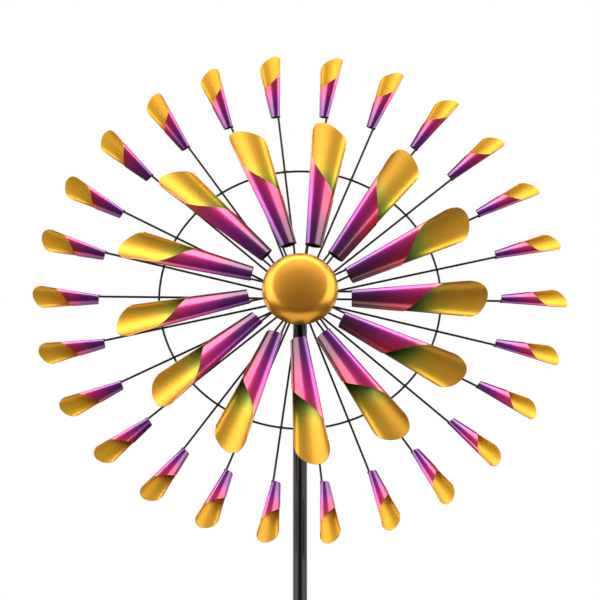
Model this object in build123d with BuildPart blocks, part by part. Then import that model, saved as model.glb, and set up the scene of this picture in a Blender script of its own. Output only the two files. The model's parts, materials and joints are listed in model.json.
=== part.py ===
"""Wind spinner: two counter-rotating wheels of rolled sheet-metal scoops on a garden pole.

Millimetres. The origin is where the pole's axis meets the ground. +Z is up, +X is to the right of
somebody facing the wheels, and the wheels stand in front of the pole, towards -Y.
"""

from build123d import *
import math
import os

# Heights along the pole
HUB_HEIGHT = 1400.0
POLE_TOP = HUB_HEIGHT + 22.0
LOWER_JOINT = 470.0
UPPER_JOINT = 940.0
SPIKE_DEPTH = 200.0
PRONG_DEPTH = 150.0

# Pole tube
POLE_R = 8.0
POLE_BORE_R = 6.8
CAP_HEIGHT = 2.5
CAP_ROUND = 1.5
CAP_PLUG = 10.0
NECK_R = 6.75
NECK_BORE_R = 5.55
NECK_LENGTH = 40.0
NECK_SHOULDER = 1.3

# Ground fork
SPIKE_R = 6.0
SPIKE_POINT = 30.0
SPIKE_TIP_R = 0.8
SPIKE_CHAMFER = 1.0
STEP_BOTTOM = 7.0
STEP_THICKNESS = 5.0
STEP_LENGTH = 150.0
STEP_WIDTH = 26.0
PRONG_R = 4.0
PRONG_OFFSET = 58.0
PRONG_POINT = 20.0
PRONG_TIP_R = 0.6
PRONG_HEAD = 4.0
PRONG_HEAD_R = 7.0
PRONG_ROUND = 2.0

# Pole joint screws
SCREW_R = 2.0
SCREW_HEAD_R = 3.6
SCREW_HEAD = 2.2
SCREW_ROUND = 1.2
SCREW_DEPTH = 4.0
SCREW_RISE = 20.0
SOCKET_SCREW = STEP_BOTTOM + STEP_THICKNESS + SCREW_RISE
LOWER_SCREW = LOWER_JOINT + NECK_SHOULDER + SCREW_RISE
UPPER_SCREW = UPPER_JOINT + NECK_SHOULDER + SCREW_RISE

# Axle and what is stacked along it, as distances in front of the pole's axis
AXLE_R = 4.0
AXLE_FRONT = 65.5
AXLE_BACK = 19.0
AXLE_CHAMFER = 0.8
RUNNING_GAP = 0.05
BODY_GAP = 0.3
REAR_WHEEL = 24.0
FRONT_WHEEL = 46.5
REAR_HUB_LENGTH = 16.0
FRONT_HUB_LENGTH = 14.0
REAR_HUB_R = 18.0
FRONT_HUB_R = 15.0
HUB_CHAMFER = 1.0
BUSH_R = 6.0
BUSH_LENGTH = 6.0
BUSH_FLANGE_R = 8.0
BUSH_FLANGE = 1.5
SPACER_R = 7.0
WASHER = 1.5
NUT_FLATS = 13.0
NUT_HEIGHT = 6.5
SHAFT_HOLE_GAP = 0.1

# Spokes and ring
WIRE_R = 1.25
WIRE_GAP = 0.02
CUT_PAST = 1.0
REAR_SPOKE_START = 13.5
FRONT_SPOKE_START = 10.0
RING_R = 160.6

# Scoops: start is the radius of the narrow end. Depths are from the scoop's axis to its back,
# corners, apex and flap heights are shares of the length or of the half width. Each scoop is
# pitched about its own axis like a vane, its tall side forward, so the wheels turn opposite ways,
# and leans forward by some degrees, so that its back runs along its spoke.
SMALL_COUNT = 26
SMALL_PHASE = -0.7
SMALL_START = 229.5
LARGE_COUNT = 13
LARGE_PHASE = -1.05
LARGE_START = 59.0
SPOKE_IN_SCOOP = 0.3
PITCH = 15.0
SMALL = {
    "length": 75.5,
    "sheet": 0.6,
    "neck": (5.0, 3.6),
    "tip": (14.0, 6.0),
    "lean": 4.0,
    "tall_side": 1,
    "corners": (0.785, 0.885),
    "apex": 0.28,
    "flap": (0.40, 0.52, 0.69),
}
LARGE = {
    "length": 155.0,
    "sheet": 0.8,
    "neck": (9.4, 6.2),
    "tip": (22.6, 9.5),
    "lean": 1.6,
    "tall_side": -1,
    "corners": (0.845, 0.87),
    "apex": 0.22,
    "flap": (0.385, 0.52, 0.70),
}

# Dome
DOME_R = 43.5
DOME_RIM = 48.1
DOME_STRAIGHT = 2.3
DOME_SHOULDER_R = 17.05
DOME_TURN = 78.0
DOME_SHEET = 1.2
PLATE_BACK = 49.1
PLATE_THICKNESS = 1.0
PRESS_GAP = 0.02

HUB_AXIS = Axis((0, 0, HUB_HEIGHT), (0, 1, 0))


def save(piece, label):
    """Name a finished piece and write it."""
    piece.label = label
    export_step(piece, f"parts/{label}.step")


def facing(distance):
    """The plane across the axle at a distance in front of the pole, looking forward."""
    return Plane(origin=(0, -distance, HUB_HEIGHT), x_dir=(1, 0, 0), z_dir=(0, -1, 0))


def spoke_plane(angle, radius, distance):
    """The plane across a spoke at a radius, with the angle counted anticlockwise from +X."""
    along = (math.cos(math.radians(angle)), 0, math.sin(math.radians(angle)))
    foot = (radius * along[0], -distance, HUB_HEIGHT + radius * along[2])
    return Plane(origin=foot, x_dir=(0, 1, 0), z_dir=along)


def spoke_angles(count, phase):
    """Evenly spaced spoke angles."""
    return [phase + index * 360 / count for index in range(count)]


def pole_tube(bottom, joint, neck, screw_heights, cross_hole):
    """One pole section, with an optional neck on top, screw holes and the axle's cross hole."""
    with BuildPart() as tube:
        with BuildSketch(Plane.XY.offset(bottom)):
            Circle(POLE_R)
            Circle(POLE_BORE_R, mode=Mode.SUBTRACT)
        extrude(amount=joint - bottom)
        if neck:
            with BuildSketch(Plane.XY.offset(joint)):
                Circle(POLE_R)
            with BuildSketch(Plane.XY.offset(joint + NECK_SHOULDER)):
                Circle(NECK_R)
            loft()
            with BuildSketch(Plane.XY.offset(joint + NECK_SHOULDER)):
                Circle(NECK_R)
            extrude(amount=NECK_LENGTH)
            with BuildSketch(Plane.XY.offset(joint)):
                Circle(NECK_BORE_R)
            extrude(amount=NECK_SHOULDER + NECK_LENGTH, mode=Mode.SUBTRACT)
        for height in screw_heights:
            screw_plane = Plane(origin=(0, 0, height), x_dir=(1, 0, 0), z_dir=(0, 1, 0))
            with BuildSketch(screw_plane):
                Circle(SCREW_R + WIRE_GAP)
            extrude(amount=POLE_R + CUT_PAST, mode=Mode.SUBTRACT)
        if cross_hole:
            with BuildSketch(facing(0)):
                Circle(AXLE_R + SHAFT_HOLE_GAP)
            extrude(amount=POLE_R + CUT_PAST, both=True, mode=Mode.SUBTRACT)
    return tube.part


def make_pole():
    """Three sections of round tube, their joint screws and the plug on top."""
    step_top = STEP_BOTTOM + STEP_THICKNESS
    lower = pole_tube(step_top, LOWER_JOINT, True, [SOCKET_SCREW, LOWER_SCREW], False)
    middle_bottom = LOWER_JOINT + NECK_SHOULDER
    middle = pole_tube(middle_bottom, UPPER_JOINT, True, [LOWER_SCREW, UPPER_SCREW], False)
    upper_bottom = UPPER_JOINT + NECK_SHOULDER
    upper = pole_tube(upper_bottom, POLE_TOP, False, [UPPER_SCREW], True)
    save(lower, "pole_lower")
    save(middle, "pole_middle")
    save(upper, "pole_upper")

    with BuildPart() as screws:
        for height in (SOCKET_SCREW, LOWER_SCREW, UPPER_SCREW):
            shank = Plane(origin=(0, POLE_R - SCREW_DEPTH, height), z_dir=(0, 1, 0))
            with BuildSketch(shank):
                Circle(SCREW_R)
            extrude(amount=SCREW_DEPTH)
            head = Plane(origin=(0, POLE_R, height), z_dir=(0, 1, 0))
            with BuildSketch(head):
                Circle(SCREW_HEAD_R)
            extrude(amount=SCREW_HEAD)
        heads = screws.faces().filter_by(Axis.Y).group_by(Axis.Y)[-1]
        fillet(heads.edges(), radius=SCREW_ROUND)
    save(screws.part, "pole_joint_screws")

    with BuildPart() as cap:
        with BuildSketch(Plane.XY.offset(POLE_TOP)):
            Circle(POLE_R)
        extrude(amount=CAP_HEIGHT)
        fillet(cap.faces().sort_by(Axis.Z)[-1].edges(), radius=CAP_ROUND)
        with BuildSketch(Plane.XY.offset(POLE_TOP)):
            Circle(POLE_BORE_R - PRESS_GAP)
        extrude(amount=-CAP_PLUG)
    save(cap.part, "pole_cap")


def make_fork():
    """The pointed spike that the pole stands on, the step bar and the two side prongs."""
    step_top = STEP_BOTTOM + STEP_THICKNESS
    with BuildPart() as spike:
        with BuildSketch(Plane.XY.offset(-SPIKE_DEPTH)):
            Circle(SPIKE_TIP_R)
        with BuildSketch(Plane.XY.offset(-SPIKE_DEPTH + SPIKE_POINT)):
            Circle(SPIKE_R)
        loft()
        with BuildSketch(Plane.XY.offset(-SPIKE_DEPTH + SPIKE_POINT)):
            Circle(SPIKE_R)
        extrude(amount=SPIKE_DEPTH - SPIKE_POINT + STEP_BOTTOM)
        with BuildSketch(Plane.XY.offset(STEP_BOTTOM)):
            Circle(NECK_R)
        extrude(amount=STEP_THICKNESS + NECK_LENGTH)
        screw_bottom = POLE_R - SCREW_DEPTH
        with BuildSketch(Plane(origin=(0, screw_bottom, SOCKET_SCREW), z_dir=(0, 1, 0))):
            Circle(SCREW_R + WIRE_GAP)
        extrude(amount=SCREW_DEPTH, mode=Mode.SUBTRACT)
        chamfer(spike.faces().sort_by(Axis.Z)[-1].edges(), length=SPIKE_CHAMFER)
    save(spike.part, "ground_spike")

    with BuildPart() as bar:
        with BuildSketch(Plane.XY.offset(STEP_BOTTOM)):
            SlotOverall(STEP_LENGTH, STEP_WIDTH)
            Circle(NECK_R + PRESS_GAP, mode=Mode.SUBTRACT)
            with Locations((-PRONG_OFFSET, 0), (PRONG_OFFSET, 0)):
                Circle(PRONG_R + PRESS_GAP, mode=Mode.SUBTRACT)
        extrude(amount=STEP_THICKNESS)
    save(bar.part, "step_bar")

    with BuildPart() as prongs:
        for x in (-PRONG_OFFSET, PRONG_OFFSET):
            foot = Plane(origin=(x, 0, -PRONG_DEPTH))
            with BuildSketch(foot):
                Circle(PRONG_TIP_R)
            with BuildSketch(foot.offset(PRONG_POINT)):
                Circle(PRONG_R)
            loft()
            with BuildSketch(foot.offset(PRONG_POINT)):
                Circle(PRONG_R)
            extrude(amount=PRONG_DEPTH - PRONG_POINT + step_top)
            with BuildSketch(Plane(origin=(x, 0, step_top))):
                Circle(PRONG_HEAD_R)
            extrude(amount=PRONG_HEAD)
        fillet(prongs.faces().group_by(Axis.Z)[-1].edges(), radius=PRONG_ROUND)
    save(prongs.part, "fork_prongs")


def make_axle():
    """The rod through the pole's head, its two nuts, and the sleeve and washers along it."""
    rear_flange = REAR_WHEEL - REAR_HUB_LENGTH / 2 - BUSH_FLANGE
    rear_front = REAR_WHEEL + REAR_HUB_LENGTH / 2 + BUSH_FLANGE
    front_flange = FRONT_WHEEL - FRONT_HUB_LENGTH / 2 - BUSH_FLANGE
    front_front = FRONT_WHEEL + FRONT_HUB_LENGTH / 2 + BUSH_FLANGE
    with BuildPart() as axle:
        with BuildSketch(facing(-AXLE_BACK)):
            Circle(AXLE_R)
        extrude(amount=AXLE_BACK + AXLE_FRONT)
        chamfer(axle.faces().filter_by(Axis.Y).edges(), length=AXLE_CHAMFER)
    save(axle.part, "axle")

    # Pairs of distances in front of the pole's axis where a spacer begins and ends.
    stack = (
        (-POLE_R - WASHER, -POLE_R),
        (POLE_R, rear_flange - BODY_GAP),
        (rear_front + BODY_GAP, front_flange - BODY_GAP),
        (front_front + BODY_GAP, front_front + BODY_GAP + WASHER),
    )
    with BuildPart() as spacers:
        for begin, end in stack:
            with BuildSketch(facing(begin)):
                Circle(SPACER_R)
                Circle(AXLE_R + PRESS_GAP, mode=Mode.SUBTRACT)
            extrude(amount=end - begin)
    save(spacers.part, "axle_spacers")

    nut_corner_r = NUT_FLATS / math.sqrt(3)
    with BuildPart() as nuts:
        for begin in (-POLE_R - WASHER - NUT_HEIGHT, front_front + BODY_GAP + WASHER):
            with BuildSketch(facing(begin)):
                RegularPolygon(nut_corner_r, 6)
                Circle(AXLE_R + PRESS_GAP, mode=Mode.SUBTRACT)
            extrude(amount=NUT_HEIGHT)
    save(nuts.part, "axle_nuts")


def make_hub(label, distance, radius, length, angles, hole_start):
    """A turned hub drilled all round for its spokes, and the two bushes pressed into it."""
    back = distance - length / 2
    with BuildPart() as hub:
        with BuildSketch(facing(back)):
            Circle(radius)
        extrude(amount=length)
        chamfer(hub.faces().filter_by(Axis.Y).edges(), length=HUB_CHAMFER)
        with BuildSketch(facing(back)):
            Circle(BUSH_R)
        extrude(amount=length, mode=Mode.SUBTRACT)
        with BuildSketch(*[spoke_plane(angle, hole_start, distance) for angle in angles]):
            Circle(WIRE_R + WIRE_GAP)
        extrude(amount=radius - hole_start + CUT_PAST, mode=Mode.SUBTRACT)
    save(hub.part, f"{label}_hub")

    with BuildPart() as bushes:
        for face, inward in ((back, 1), (back + length, -1)):
            with BuildSketch(facing(face)):
                Circle(BUSH_R - PRESS_GAP)
            extrude(amount=inward * BUSH_LENGTH)
            with BuildSketch(facing(face)):
                Circle(BUSH_FLANGE_R)
            extrude(amount=-inward * BUSH_FLANGE)
        with BuildSketch(facing(back - BUSH_FLANGE)):
            Circle(AXLE_R + RUNNING_GAP)
        extrude(amount=length + 2 * BUSH_FLANGE, mode=Mode.SUBTRACT)
    save(bushes.part, f"{label}_bushings")


def make_spokes(label, distance, angles, start, end):
    """Straight wires from the hub's holes into the narrow ends of the scoops."""
    with BuildPart() as spokes:
        with BuildSketch(*[spoke_plane(angle, start, distance) for angle in angles]):
            Circle(WIRE_R)
        extrude(amount=end - start)
    save(spokes.part, label)


def make_ring():
    """The wire ring that lies against the backs of the long spokes."""
    distance = REAR_WHEEL - 2 * WIRE_R - WIRE_GAP
    ring_section = Plane(origin=(RING_R, -distance, HUB_HEIGHT), x_dir=(1, 0, 0), z_dir=(0, 0, 1))
    with BuildPart() as ring:
        with BuildSketch(ring_section):
            Circle(WIRE_R)
        revolve(axis=HUB_AXIS)
    save(ring.part, "spoke_ring")


def cone_between(kind, inset):
    """The solid inside a scoop's surface: an ellipse at the neck lofted to one at the tip."""
    with BuildPart() as cone:
        with BuildSketch(Plane.XY):
            Ellipse(kind["neck"][0] - inset, kind["neck"][1] - inset)
        with BuildSketch(Plane.XY.offset(kind["length"])):
            Ellipse(kind["tip"][0] - inset, kind["tip"][1] - inset)
        loft(ruled=True)
    return cone.part


def scoop_blank(kind):
    """One scoop standing on its narrow end, its open front towards -Y and its flap's tall side
    to the left as seen from the front where tall_side is -1, or to the right where it is 1.
    """
    outside = cone_between(kind, 0)
    inside = cone_between(kind, kind["sheet"])
    length = kind["length"]
    side = kind["tall_side"]
    clear = kind["tip"][0] + CUT_PAST
    short_corner, tall_corner = (share * length for share in kind["corners"])
    short_flap, middle_flap, tall_flap = (share * length for share in kind["flap"])
    neck, tip = kind["neck"][0], kind["tip"][0]
    short_x = -side * (neck + (tip - neck) * short_corner / length)
    tall_x = side * (neck + (tip - neck) * tall_corner / length)
    with BuildPart() as blank:
        add(outside)
        add(inside, mode=Mode.SUBTRACT)
        # The rounded spoon tip, as an outline seen from the front.
        with BuildSketch(Plane.XZ):
            with BuildLine():
                foot = Line((side * clear, 0), (-side * clear, 0))
                short = Line(foot @ 1, (-side * clear, short_corner))
                lead_in = Line(short @ 1, (short_x, short_corner))
                tip_curve = Spline(
                    lead_in @ 1,
                    (side * kind["apex"] * tip, length),
                    (tall_x, tall_corner),
                    tangents=((0, 1), (0, -1)),
                )
                lead_out = Line(tip_curve @ 1, (side * clear, tall_corner))
                Line(lead_out @ 1, foot @ 0)
            make_face()
        extrude(amount=clear, both=True, mode=Mode.INTERSECT)
        # The open mouth in front of the flap's curved diagonal edge.
        with BuildSketch(Plane.XZ):
            with BuildLine():
                flap = Spline((-side * clear, short_flap), (0, middle_flap), (side * clear, tall_flap))
                up = Line(flap @ 1, (side * clear, length + CUT_PAST))
                across = Line(up @ 1, (-side * clear, length + CUT_PAST))
                Line(across @ 1, flap @ 0)
            make_face()
        extrude(amount=clear, mode=Mode.SUBTRACT)
    return blank.part


def make_scoops(label, blank, kind, start, distance, angles):
    """Copies of a blank round the wheel, each with its narrow end over its spoke.

    The spoke lies along the inside of the tall side's wall.
    """
    side = kind["tall_side"]
    offset = kind["neck"][0] - kind["sheet"] - WIRE_R - WIRE_GAP
    across = -side * offset * math.cos(math.radians(PITCH))
    back = offset * math.sin(math.radians(PITCH))
    stand = Location((across, back - distance, HUB_HEIGHT + start))
    upright = blank.rotate(Axis.Z, -side * PITCH).rotate(Axis.X, kind["lean"]).moved(stand)
    for number, angle in enumerate(angles, start=1):
        save(upright.rotate(HUB_AXIS, 90 - angle), f"{label}_{number:02d}")


def dome_solid(inset):
    """The dome's solid of revolution with its surface moved in by inset.

    A short straight rim, a shoulder arc, and a shallow crown arc centred on the axis.
    """
    turn = math.radians(DOME_TURN)
    shoulder_x = DOME_R - DOME_SHOULDER_R
    centre_drop = shoulder_x / math.cos(turn)
    crown_y = DOME_STRAIGHT - centre_drop * math.sin(turn)
    shoulder_r = DOME_SHOULDER_R - inset
    crown_r = shoulder_r + centre_drop
    with BuildPart() as dome:
        with BuildSketch(Plane.XY):
            with BuildLine():
                rim = Line((0, 0), (DOME_R - inset, 0))
                Line(rim @ 1, (DOME_R - inset, DOME_STRAIGHT))
                CenterArc((shoulder_x, DOME_STRAIGHT), shoulder_r, 0, DOME_TURN)
                crown = CenterArc((0, crown_y), crown_r, DOME_TURN, 90 - DOME_TURN)
                Line(crown @ 1, rim @ 0)
            make_face()
        revolve(axis=Axis.Y)
    return dome.part


def make_dome():
    """The domed cap over the front hub, and the round plate that carries it."""
    shell = dome_solid(0) - dome_solid(DOME_SHEET)
    forward = shell.rotate(Axis.X, 180).moved(Location((0, -DOME_RIM, HUB_HEIGHT)))
    save(forward, "hub_dome")

    with BuildPart() as plate:
        with BuildSketch(facing(PLATE_BACK)):
            Circle(DOME_R - DOME_SHEET - PRESS_GAP)
            Circle(FRONT_HUB_R + PRESS_GAP, mode=Mode.SUBTRACT)
        extrude(amount=PLATE_THICKNESS)
    save(plate.part, "dome_backplate")


def main():
    """Make every piece."""
    os.makedirs("parts", exist_ok=True)
    small_angles = spoke_angles(SMALL_COUNT, SMALL_PHASE)
    large_angles = spoke_angles(LARGE_COUNT, LARGE_PHASE)
    make_fork()
    make_pole()
    make_axle()
    make_hub("rear", REAR_WHEEL, REAR_HUB_R, REAR_HUB_LENGTH, small_angles, REAR_SPOKE_START)
    make_hub("front", FRONT_WHEEL, FRONT_HUB_R, FRONT_HUB_LENGTH, large_angles, FRONT_SPOKE_START)
    small_end = SMALL_START + SPOKE_IN_SCOOP * SMALL["length"]
    large_end = LARGE_START + SPOKE_IN_SCOOP * LARGE["length"]
    make_spokes("rear_spokes", REAR_WHEEL, small_angles, REAR_SPOKE_START, small_end)
    make_spokes("front_spokes", FRONT_WHEEL, large_angles, FRONT_SPOKE_START, large_end)
    make_ring()
    small = scoop_blank(SMALL)
    large = scoop_blank(LARGE)
    make_scoops("small_scoop", small, SMALL, SMALL_START, REAR_WHEEL, small_angles)
    make_scoops("large_scoop", large, LARGE, LARGE_START, FRONT_WHEEL, large_angles)
    make_dome()


main()
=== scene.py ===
"""Looks of the wind spinner: detailed pieces, materials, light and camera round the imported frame.

Everything is in metres in the frame's own axes: +Z up, the wheels towards -Y, X across.
"""

import bpy
import json
import math
from mathutils import Matrix, Vector


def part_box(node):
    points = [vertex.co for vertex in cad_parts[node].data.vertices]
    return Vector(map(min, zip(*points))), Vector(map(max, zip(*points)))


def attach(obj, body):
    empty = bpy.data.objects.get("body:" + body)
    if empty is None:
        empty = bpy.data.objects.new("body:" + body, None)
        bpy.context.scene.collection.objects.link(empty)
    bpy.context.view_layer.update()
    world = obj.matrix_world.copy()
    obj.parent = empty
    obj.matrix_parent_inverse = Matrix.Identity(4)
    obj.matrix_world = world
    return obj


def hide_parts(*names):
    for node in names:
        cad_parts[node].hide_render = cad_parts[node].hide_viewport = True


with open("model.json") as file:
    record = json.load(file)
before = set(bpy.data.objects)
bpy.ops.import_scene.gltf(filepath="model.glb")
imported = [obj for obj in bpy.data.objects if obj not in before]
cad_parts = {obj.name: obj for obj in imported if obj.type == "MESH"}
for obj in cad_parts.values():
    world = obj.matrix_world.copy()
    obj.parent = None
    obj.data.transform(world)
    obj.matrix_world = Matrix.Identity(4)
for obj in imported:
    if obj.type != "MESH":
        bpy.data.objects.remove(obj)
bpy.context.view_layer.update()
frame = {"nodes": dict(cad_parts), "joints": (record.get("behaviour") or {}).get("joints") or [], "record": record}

MM = 0.001
JOINTS = {joint["name"]: joint for joint in frame["joints"]}
HUB = Vector(JOINTS["rear_wheel_spin"]["pos_m"])
HUB_HEIGHT = HUB.z
REAR_WHEEL = -HUB.y
FRONT_WHEEL = -JOINTS["front_wheel_spin"]["pos_m"][1]
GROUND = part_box("ground_spike")[0].z

# The camera: far off, straight on, from below
VIEW_RISE = 24.0
VIEW_DISTANCE = 20.0
VIEW_WIDTH = 0.684
VIEW_CENTRE = Vector((0.0, -REAR_WHEEL, HUB_HEIGHT - 0.0015))

# Wires
WIRE = 1.25 * MM
WIRE_GAP = 0.02 * MM
RING_RADIUS = 160.6 * MM
REAR_SPOKE_START = 13.5 * MM
FRONT_SPOKE_START = 10.0 * MM
SPOKE_IN_SCOOP = 0.3


class Scoop:
    """Sizes of one kind of scoop. tall is -1 where the flap is taller on the left, or +1."""

    def __init__(self, **sizes):
        self.__dict__.update(sizes)


SMALL = Scoop(
    label="small_scoop", wheel_label="rear", count=26, phase=-0.7,
    start=229.5 * MM, length=75.5 * MM, sheet=0.6 * MM, tall=1,
    neck=5.0 * MM, tip=14.0 * MM, neck_depth=3.6 * MM, tip_depth=6.0 * MM, lean=4.0,
    wheel=REAR_WHEEL, body="rear_rotor", short_corner=0.785, tall_corner=0.885,
    short_round=1.4, tall_round=2.1, apex=0.28, flap_short=0.40, flap_tall=0.69,
    columns=64, rows=16,
)
LARGE = Scoop(
    label="large_scoop", wheel_label="front", count=13, phase=-1.05,
    start=59.0 * MM, length=155.0 * MM, sheet=0.8 * MM, tall=-1,
    neck=9.4 * MM, tip=22.6 * MM, neck_depth=6.2 * MM, tip_depth=9.5 * MM, lean=1.6,
    wheel=FRONT_WHEEL, body="front_rotor", short_corner=0.845, tall_corner=0.87,
    short_round=1.5, tall_round=2.3, apex=0.22, flap_short=0.385, flap_tall=0.70,
    columns=88, rows=24,
)
PITCH = math.radians(15.0)


# ---------------------------------------------------------------- mesh helpers

UPRIGHT = Matrix.Identity(4)
# Local Z along the axle, away from the pole, starting on the pole's axis
FORWARD = Matrix(((1, 0, 0, 0), (0, 0, -1, 0), (0, 1, 0, HUB_HEIGHT), (0, 0, 0, 1)))


class Shape:
    """Points and faces of one piece, gathered from several simple surfaces."""

    def __init__(self):
        self.points = []
        self.faces = []

    def grid(self, rows, closed_rows=False):
        """Joins equally long closed rings of points, in order, by quads."""
        first = len(self.points)
        size = len(rows[0])
        for row in rows:
            self.points.extend(row)
        spans = len(rows) if closed_rows else len(rows) - 1
        for index in range(spans):
            low = first + index * size
            high = first + ((index + 1) % len(rows)) * size
            for side in range(size):
                after = (side + 1) % size
                self.faces.append((low + side, low + after, high + after, high + side))
        return first, size

    def cap(self, first, size, flip=False):
        """Closes a ring with one face."""
        ring = list(range(first, first + size))
        self.faces.append(ring[::-1] if flip else ring)

    def lathe(self, profile, place=UPRIGHT, sides=64, closed=False, radius_at=None):
        """Turns (radius, height) pairs about local Z. radius_at can shape each ring."""
        rows = []
        for radius, height in profile:
            row = []
            for side in range(sides):
                angle = 2 * math.pi * side / sides
                reach = radius_at(radius, height, angle) if radius_at else radius
                local = Vector((reach * math.cos(angle), reach * math.sin(angle), height))
                row.append(place @ local)
            rows.append(row)
        first, size = self.grid(rows, closed)
        if not closed:
            self.cap(first, size, True)
            self.cap(first + (len(rows) - 1) * size, size)

    def add(self, name, body, slot, material, replaced=(), crease=35):
        """Makes the gathered surfaces into one piece."""
        piece = add_mesh(name, self.points, self.faces, body, material, replaced)
        piece.data.set_sharp_from_angle(angle=math.radians(crease))
        return piece


def add_mesh(name, points, faces, body, material, replaced=()):
    """A smooth mesh piece that rides on a body."""
    mesh = bpy.data.meshes.new(name)
    mesh.from_pydata([tuple(p) for p in points], [], faces)
    mesh.polygons.foreach_set("use_smooth", [True] * len(mesh.polygons))
    mesh.validate()
    mesh.update()
    piece = bpy.data.objects.new(name, mesh)
    bpy.context.scene.collection.objects.link(piece)
    mesh.materials.append(material)
    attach(piece, body)
    if replaced:
        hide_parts(*replaced)
    return piece


def point_attribute(mesh, name, values):
    """Stores one number per vertex for the materials."""
    attribute = mesh.attributes.new(name, "FLOAT", "POINT")
    attribute.data.foreach_set("value", values)


def arc(centre, radius, start, end, steps):
    """(radius, height) points of an arc in a lathe's profile, angles in degrees."""
    points = []
    for step in range(steps + 1):
        angle = math.radians(start + (end - start) * step / steps)
        points.append((centre[0] + radius * math.cos(angle), centre[1] + radius * math.sin(angle)))
    return points


def round_ring(inner, outer, bottom, top, edge):
    """The profile of a turned ring with rounded outer edges."""
    profile = arc((outer - edge, bottom + edge), edge, -90, 0, 4)
    profile += arc((outer - edge, top - edge), edge, 0, 90, 4)
    return [(inner, bottom)] + profile + [(inner, top)]


def radius_of(node):
    """Half a round node's width across X."""
    low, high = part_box(node)
    return (high.x - low.x) / 2


def stacked(node):
    """Where a node begins and ends along the axle, as distances in front of the pole's axis."""
    low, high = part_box(node)
    return -high.y, -low.y


# ---------------------------------------------------------------- scoops

WRAP_START = -5.0
WRAP_END = 370.0
TALL_EDGE = 180.0
FLAP_START = 191.0
OVERLAP_START = 356.0
OVERLAP_RISE = 14.0
OVERLAP_REACH = 0.24


def tip_share(kind, across):
    """How far along the scoop its tip reaches at a place across it, -1 short side to 1 tall side."""
    if across > kind.apex:
        off = (across - kind.apex) / (1 - kind.apex)
        corner, power = kind.tall_corner, kind.tall_round
    else:
        off = (kind.apex - across) / (1 + kind.apex)
        corner, power = kind.short_corner, kind.short_round
    return corner + (1 - corner) * math.sqrt(max(0.0, 1 - min(1.0, off) ** power))


def reach(kind, wrap):
    """Share of the length that the sheet reaches at an angle round the scoop.

    The wrap angle is 0 at the short side, 90 at the back, 180 at the tall side, 270 in front.
    """
    if wrap <= TALL_EDGE:
        return tip_share(kind, -math.cos(math.radians(max(0.0, wrap))))
    if wrap <= FLAP_START:
        t = (wrap - TALL_EDGE) / (FLAP_START - TALL_EDGE)
        top = kind.tall_corner
        ease = t * t * (3 - 2 * t)
        return top + (kind.flap_tall - top) * (0.35 * t + 0.65 * ease)
    if wrap <= OVERLAP_START:
        t = (wrap - FLAP_START) / (OVERLAP_START - FLAP_START)
        return kind.flap_short + (kind.flap_tall - kind.flap_short) * (1 - t) ** 1.3
    t = (wrap - OVERLAP_START) / (WRAP_END - OVERLAP_START)
    return kind.flap_short + (OVERLAP_REACH - kind.flap_short) * t


def wrap_angles(columns):
    """Columns round the sheet, closer together where its outline turns quickly."""
    spans = ((WRAP_START, 0, 3), (0, 30, 7), (30, 150, 14), (150, TALL_EDGE, 8),
             (TALL_EDGE, FLAP_START, 7), (FLAP_START, 330, 18), (330, OVERLAP_START, 4),
             (OVERLAP_START, WRAP_END, 4))
    total = sum(share for _, _, share in spans)
    angles = [WRAP_START]
    for low, high, share in spans:
        steps = max(2, round(columns * share / total))
        angles += [low + (high - low) * step / steps for step in range(1, steps + 1)]
    return angles


def scoop_surface(kind, wrap, share, inset):
    """A point of the sheet in the scoop's own axes: its axis up Z, its front towards -Y."""
    along = share * kind.length
    wide = kind.neck + (kind.tip - kind.neck) * share - inset
    deep = kind.neck_depth + (kind.tip_depth - kind.neck_depth) * share - inset
    lift = max(0.0, (wrap - OVERLAP_START + OVERLAP_RISE) / OVERLAP_RISE)
    over = kind.sheet * 1.15 * min(1.0, lift)
    angle = math.radians(wrap)
    return (
        -kind.tall * (wide + over) * math.cos(angle),
        (deep + over) * math.sin(angle),
        along,
    )


class Sheet:
    """One rolled sheet's vertices, faces and the numbers that its lacquer follows."""

    def __init__(self):
        self.points, self.faces = [], []
        self.along, self.around, self.inside, self.edge = [], [], [], []

    def point(self, kind, wrap, share, layer, edge=0.0):
        self.points.append(scoop_surface(kind, wrap, share, layer * kind.sheet))
        self.along.append(share)
        self.around.append(wrap / 360)
        self.inside.append(float(layer))
        self.edge.append(edge)
        return len(self.points) - 1


def rolled_sheet(kind):
    """Outside, inside and cut edges of one scoop."""
    sheet = Sheet()
    wraps = wrap_angles(kind.columns)
    rows = kind.rows

    def share_at(column, row):
        return reach(kind, wraps[column]) * row / rows

    corners = {}
    for layer in (0, 1):
        for column, wrap in enumerate(wraps):
            for row in range(rows + 1):
                corners[layer, column, row] = sheet.point(kind, wrap, share_at(column, row), layer)
    flip = kind.tall > 0
    for column in range(len(wraps) - 1):
        for row in range(rows):
            for layer in (0, 1):
                quad = [
                    corners[layer, column, row], corners[layer, column + 1, row],
                    corners[layer, column + 1, row + 1], corners[layer, column, row + 1],
                ]
                inward = (layer == 1) != flip
                sheet.faces.append(quad[::-1] if inward else quad)
    rim = [(column, 0) for column in range(len(wraps))]
    rim += [(len(wraps) - 1, row) for row in range(1, rows + 1)]
    rim += [(column, rows) for column in range(len(wraps) - 2, -1, -1)]
    rim += [(0, row) for row in range(rows - 1, 0, -1)]
    cut = [
        [sheet.point(kind, wraps[column], share_at(column, row), layer, 1.0) for layer in (0, 1)]
        for column, row in rim
    ]
    for index, (outer, inner) in enumerate(cut):
        next_outer, next_inner = cut[(index + 1) % len(cut)]
        quad = [outer, next_outer, next_inner, inner]
        sheet.faces.append(quad[::-1] if flip else quad)
    return sheet


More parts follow.
